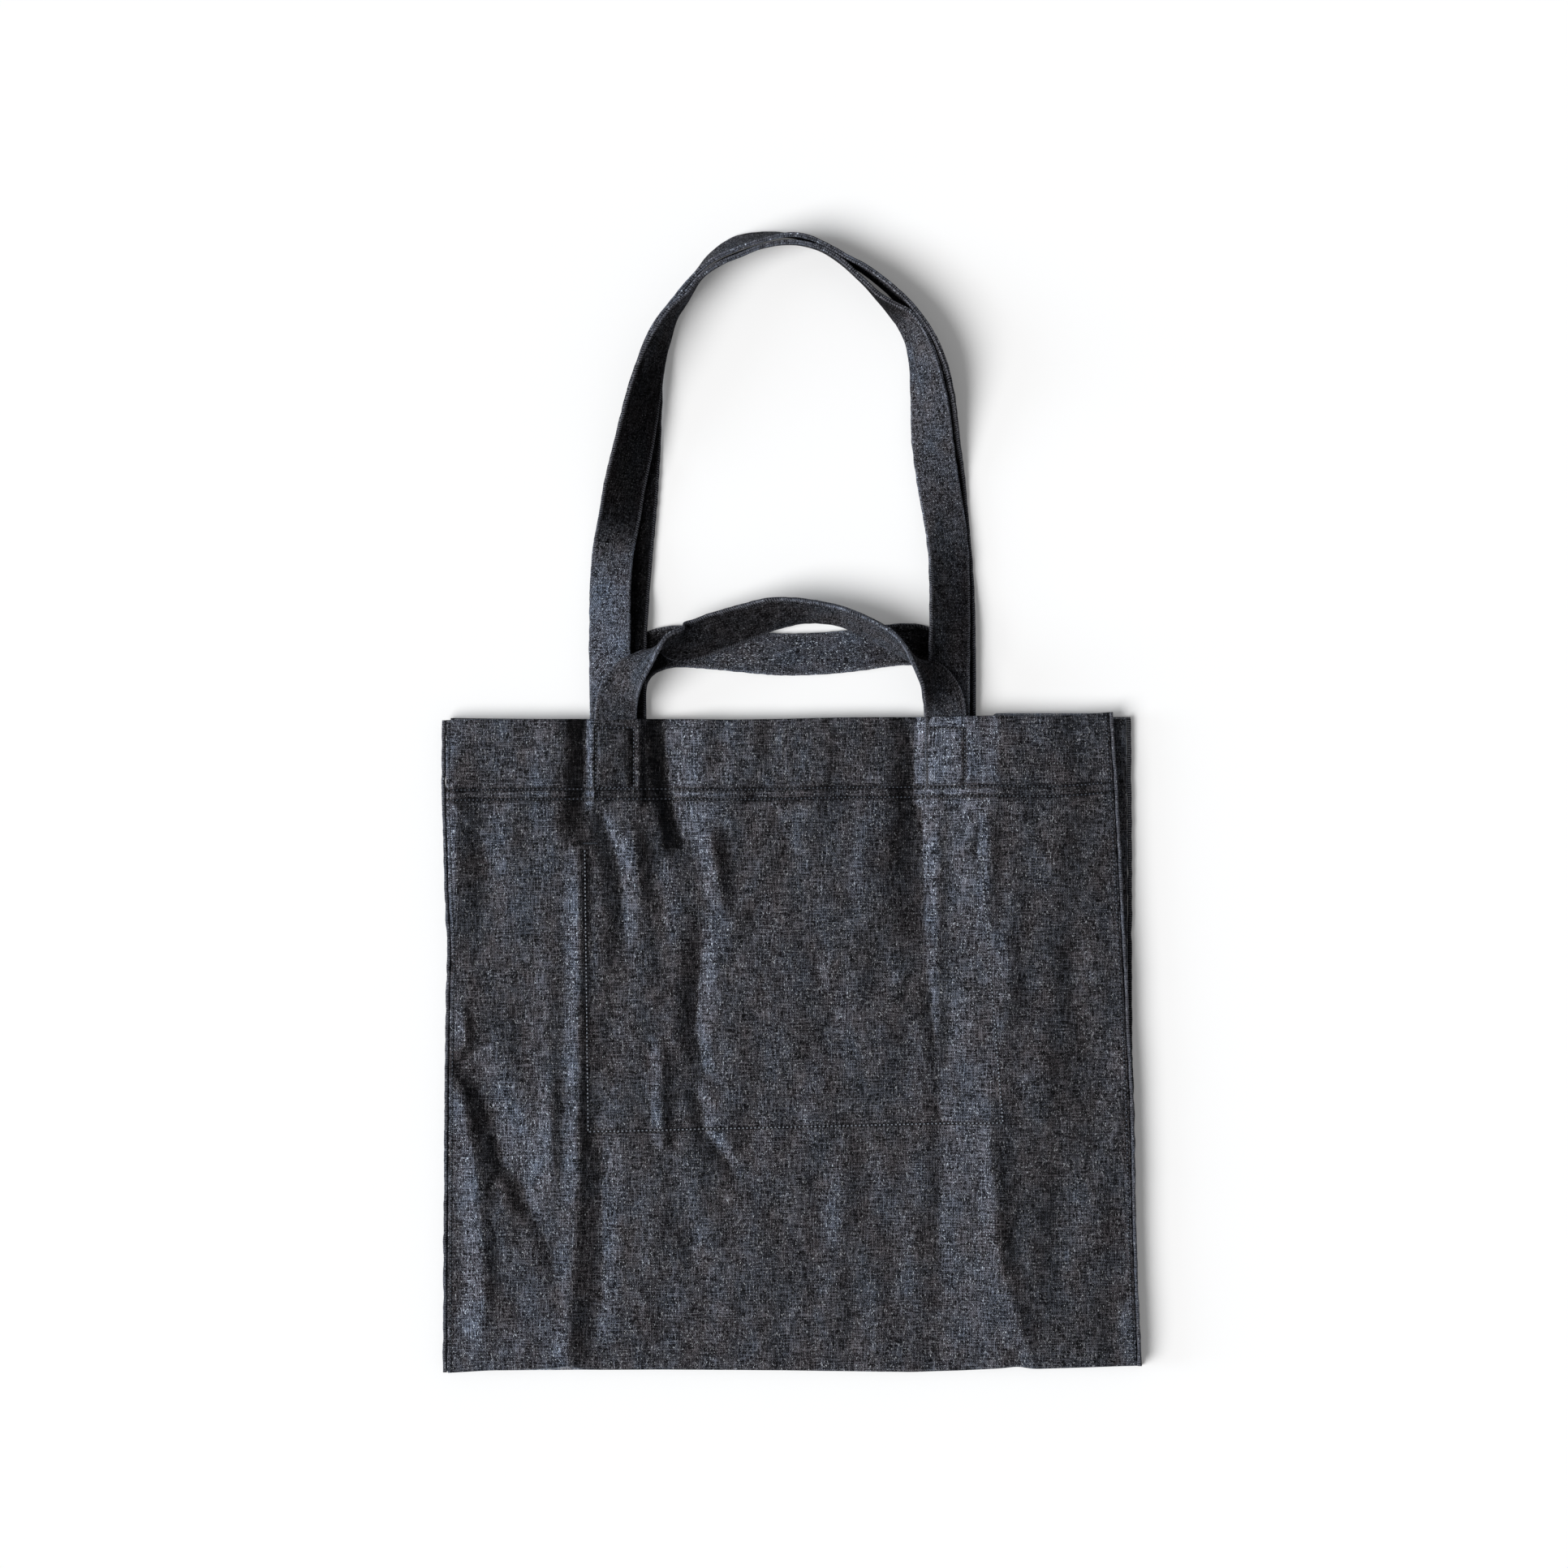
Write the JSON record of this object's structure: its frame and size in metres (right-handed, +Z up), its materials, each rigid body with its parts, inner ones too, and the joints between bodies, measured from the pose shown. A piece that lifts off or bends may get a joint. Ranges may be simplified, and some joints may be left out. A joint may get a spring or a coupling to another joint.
{
  "type": "gusseted denim tote bag with shoulder straps and hand straps",
  "caption": "Square gusseted tote bag in raw dark denim, lying flat, with long shoulder straps, short hand straps, a faced mouth and an inner patch pocket.",
  "frame": {"origin": "middle of the footprint of the whole bag lying on its back, straps included, on the surface that it lies on", "axes": "+X to the right of the front face, +Y from the base fold through the mouth to the top of the straps, +Z up out of the front face"},
  "size_m": [0.422, 0.686, 0.0341],
  "materials": {
    "denim": "raw dark indigo right-hand twill denim, matt, unwashed, with small pale slubs",
    "denim_inside": "turned denim facing, matt twill",
    "strap_denim": "denim folded in four and edge-stitched, matt twill with brighter folded edges",
    "pocket_cloth": "same denim, one layer, matt",
    "thread": "tonal dark polyester topstitching thread, faint sheen"
  },
  "bodies": {
    "root": {"back_panel": "denim", "back_facing": "denim_inside", "base_back_half": "denim", "left_gusset_back_half": "denim", "left_gusset_back_facing": "denim_inside", "back_left_seam": "denim", "back_shoulder_strap_left_end": "strap_denim", "back_hand_strap_left_end": "strap_denim", "right_gusset_back_half": "denim", "right_gusset_back_facing": "denim_inside", "back_right_seam": "denim", "back_shoulder_strap_right_end": "strap_denim", "back_hand_strap_right_end": "strap_denim"},
    "front": {"front_panel": "denim", "front_facing": "denim_inside", "base_front_half": "denim", "inner_pocket": "pocket_cloth", "pocket_hem": "pocket_cloth", "left_gusset_front_half": "denim", "left_gusset_front_facing": "denim_inside", "front_left_seam": "denim", "front_shoulder_strap_left_end": "strap_denim", "front_hand_strap_left_end": "strap_denim", "left_edge_stitching": "thread", "left_box_stitching": "thread", "pocket_left_bar_tack": "thread", "right_gusset_front_half": "denim", "right_gusset_front_facing": "denim_inside", "front_right_seam": "denim", "front_shoulder_strap_right_end": "strap_denim", "front_hand_strap_right_end": "strap_denim", "right_edge_stitching": "thread", "right_box_stitching": "thread", "pocket_right_bar_tack": "thread", "hem_stitching_upper": "thread", "hem_stitching_lower": "thread", "pocket_stitching": "thread"},
    "front_shoulder": {"front_shoulder_strap": "strap_denim"},
    "back_shoulder": {"back_shoulder_strap": "strap_denim"},
    "front_hand": {"front_hand_strap": "strap_denim"},
    "back_hand": {"back_hand_strap": "strap_denim"}
  },
  "joints": [
    {"name": "mouth_open", "type": "hinge", "parent": "root", "child": "front", "pos_m": [0, -0.341, 0.0051], "axis": [1, 0, 0], "range_deg": [0, 20]},
    {"name": "front_shoulder_swing", "type": "hinge", "parent": "front", "child": "front_shoulder", "pos_m": [0, 0.058, 0.0168], "axis": [1, 0, 0], "range_deg": [0, 80]},
    {"name": "back_shoulder_swing", "type": "hinge", "parent": "root", "child": "back_shoulder", "pos_m": [0, 0.058, 0.0168], "axis": [1, 0, 0], "range_deg": [0, 80]},
    {"name": "front_hand_swing", "type": "hinge", "parent": "front_shoulder", "child": "front_hand", "pos_m": [0, 0.058, 0.0168], "axis": [1, 0, 0], "range_deg": [0, 25]},
    {"name": "back_hand_swing", "type": "hinge", "parent": "back_shoulder", "child": "back_hand", "pos_m": [0, 0.058, 0.0168], "axis": [1, 0, 0], "range_deg": [-32, 0]}
  ],
  "couplings": [
    {"joint": "back_shoulder_swing", "follows": "front_shoulder_swing", "ratio": 1},
    {"joint": "back_hand_swing", "follows": "front_shoulder_swing", "ratio": -0.4}
  ]
}
